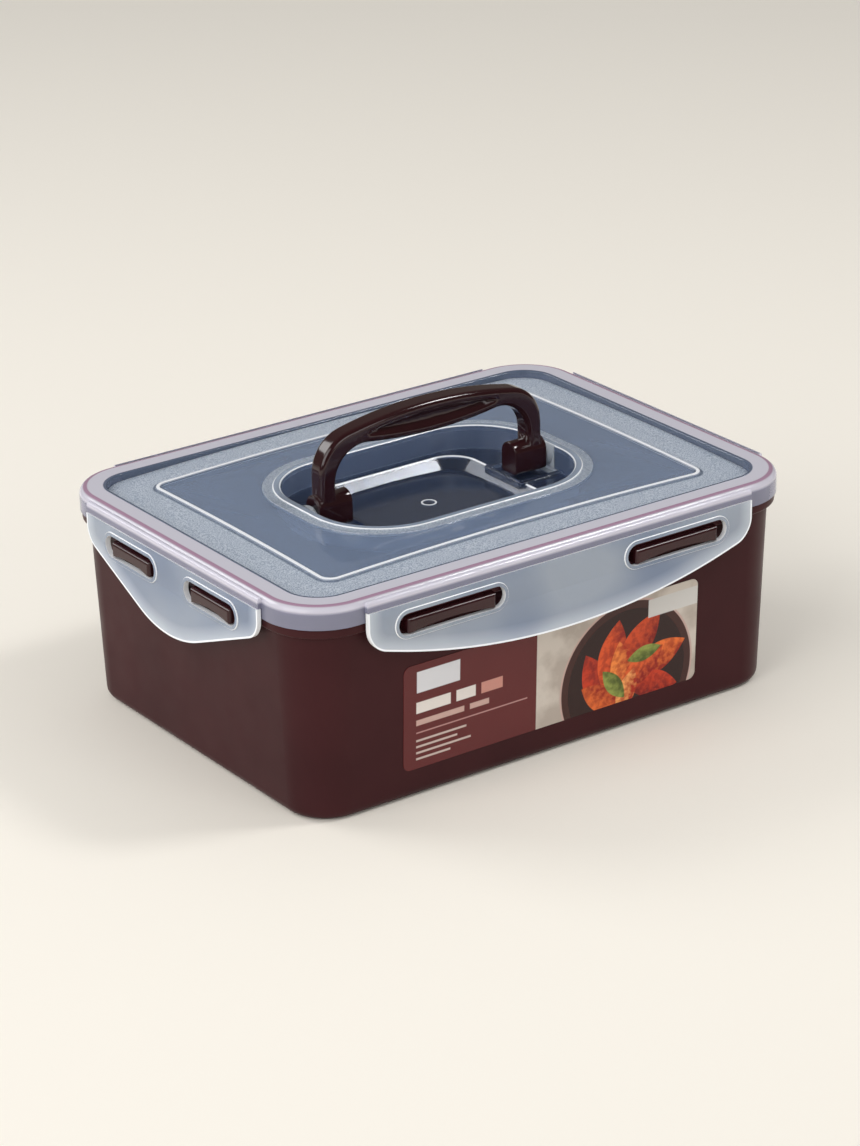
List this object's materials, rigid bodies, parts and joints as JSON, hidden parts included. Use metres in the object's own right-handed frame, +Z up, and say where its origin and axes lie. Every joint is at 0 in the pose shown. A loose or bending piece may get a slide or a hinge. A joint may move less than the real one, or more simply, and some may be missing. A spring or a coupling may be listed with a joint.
{
  "type": "kimchi container",
  "caption": "Rectangular food tub with a clear clip-on lid, hinged locking wings, a soft seal and a carry handle that folds into a well in the lid.",
  "frame": {"origin": "middle of the tub's underside, on the surface it stands on", "axes": "+Z up, +X along the long side, the labelled front faces -Y"},
  "size_m": [0.2316, 0.172, 0.1159],
  "materials": {
    "tub_plastic": "fine satin",
    "clear_plastic": "translucent",
    "wing_plastic": "translucent",
    "seal_rubber": "soft silicone",
    "handle_plastic": "glossy",
    "label_print": null
  },
  "bodies": {
    "container": {"tub": "tub_plastic", "lid": "clear_plastic", "gasket": "seal_rubber", "front_label": "label_print"},
    "handle": {"handle": "handle_plastic"},
    "front_wing": {"front_wing": "wing_plastic"},
    "back_wing": {"back_wing": "wing_plastic"},
    "left_wing": {"left_wing": "wing_plastic"},
    "right_wing": {"right_wing": "wing_plastic"}
  },
  "joints": [
    {"name": "handle_fold", "type": "hinge", "parent": "container", "child": "handle", "pos_m": [0, 0, 0.08145], "axis": [1, 0, 0], "range_deg": [-90, 90]},
    {"name": "front_wing_hinge", "type": "hinge", "parent": "container", "child": "front_wing", "pos_m": [0, -0.0845, 0.0802], "axis": [-1, 0, 0], "range_deg": [0, 165]},
    {"name": "back_wing_hinge", "type": "hinge", "parent": "container", "child": "back_wing", "pos_m": [0, 0.0845, 0.0802], "axis": [1, 0, 0], "range_deg": [0, 165]},
    {"name": "left_wing_hinge", "type": "hinge", "parent": "container", "child": "left_wing", "pos_m": [-0.114, 0, 0.0802], "axis": [0, 1, 0], "range_deg": [0, 165]},
    {"name": "right_wing_hinge", "type": "hinge", "parent": "container", "child": "right_wing", "pos_m": [0.114, 0, 0.0802], "axis": [0, -1, 0], "range_deg": [0, 165]}
  ]
}
